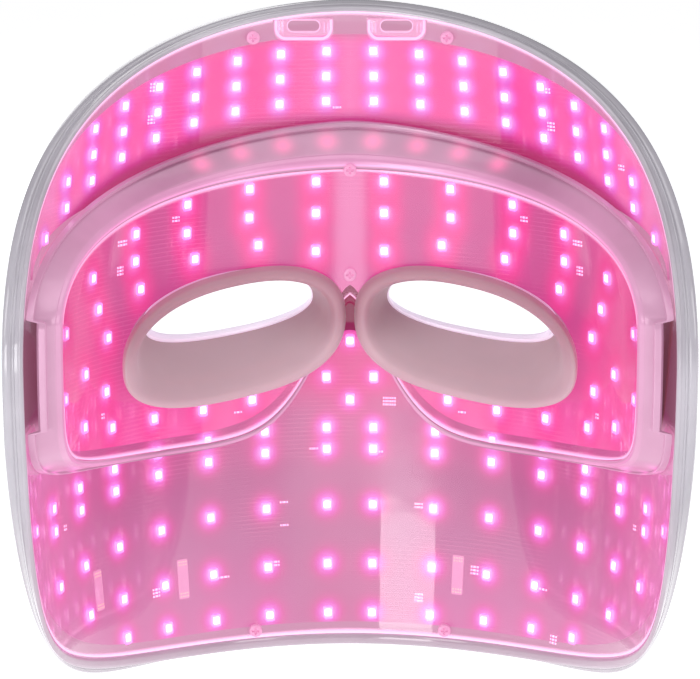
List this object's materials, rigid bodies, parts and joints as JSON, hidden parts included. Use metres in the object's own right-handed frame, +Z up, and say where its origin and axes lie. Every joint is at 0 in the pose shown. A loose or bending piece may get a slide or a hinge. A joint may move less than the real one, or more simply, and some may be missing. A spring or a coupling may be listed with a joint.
{
  "type": "led face mask",
  "caption": "Rigid wraparound light-therapy face mask: curved shell, clear liner over light boards for brow and jaw, raised goggle module with soft eyecups, power button and charging inlet.",
  "frame": {"origin": "on the middle plane, level with the middle of the eye openings, in the plane of the two side edges, which is where the head fits", "axes": "+X to the wearer's right, +Y out through the front of the mask, +Z up towards the brow"},
  "size_m": [0.19, 0.1022, 0.197],
  "materials": {
    "shell_white": "gloss",
    "rim_clear": "gloss",
    "liner_pink": "clear gloss",
    "pearl_pink": "pearl gloss",
    "window_pink": "clear gloss",
    "silicone_rose": "matte silicone",
    "ring_lilac": "satin",
    "board_white": "matte",
    "led": "lit",
    "jumper_tape": "matte",
    "battery_foil": "satin",
    "lead_red": "matte",
    "board_green": "satin",
    "chip_black": "matte",
    "socket_ivory": "matte",
    "flex_amber": "satin",
    "button_white": "satin",
    "light_clear": "gloss",
    "steel": "satin"
  },
  "bodies": {
    "mask": {"front_shell": "shell_white", "rim_frame": "rim_clear", "brow_cover": "liner_pink", "jaw_cover": "liner_pink", "left_slot_plate": "liner_pink", "right_slot_plate": "liner_pink", "eye_frame": "pearl_pink", "eye_window": "window_pink", "left_eye_ring": "ring_lilac", "right_eye_ring": "ring_lilac", "brow_board": "board_white", "jaw_board": "board_white", "eye_board": "board_white", "brow_leds": "led", "jaw_leds": "led", "eye_leds": "led", "jaw_jumpers": "jumper_tape", "battery": "battery_foil", "battery_lead": "lead_red", "control_board": "board_green", "main_chip": "chip_black", "tact_switch": "steel", "usb_c_socket": "steel", "board_sockets": "socket_ivory", "flex_tails": "flex_amber", "button_ring": "steel", "status_light": "light_clear", "cover_screws": "steel", "goggle_screws": "steel", "board_screws": "steel"},
    "power_button": {"power_button": "button_white"},
    "left_eyecup": {"left_eyecup": "silicone_rose"},
    "right_eyecup": {"right_eyecup": "silicone_rose"}
  },
  "joints": [
    {"name": "power_press", "type": "slide", "parent": "mask", "child": "power_button", "axis": [-0.7884, -0.6152, 0], "range_m": [0, 0.0006], "stiffness_N_per_m": 800, "springref_m": -0.0005},
    {"name": "left_cup_pull", "type": "slide", "parent": "mask", "child": "left_eyecup", "axis": [0, -1, 0], "range_m": [0, 0.01]},
    {"name": "right_cup_pull", "type": "slide", "parent": "mask", "child": "right_eyecup", "axis": [0, -1, 0], "range_m": [0, 0.01]}
  ]
}
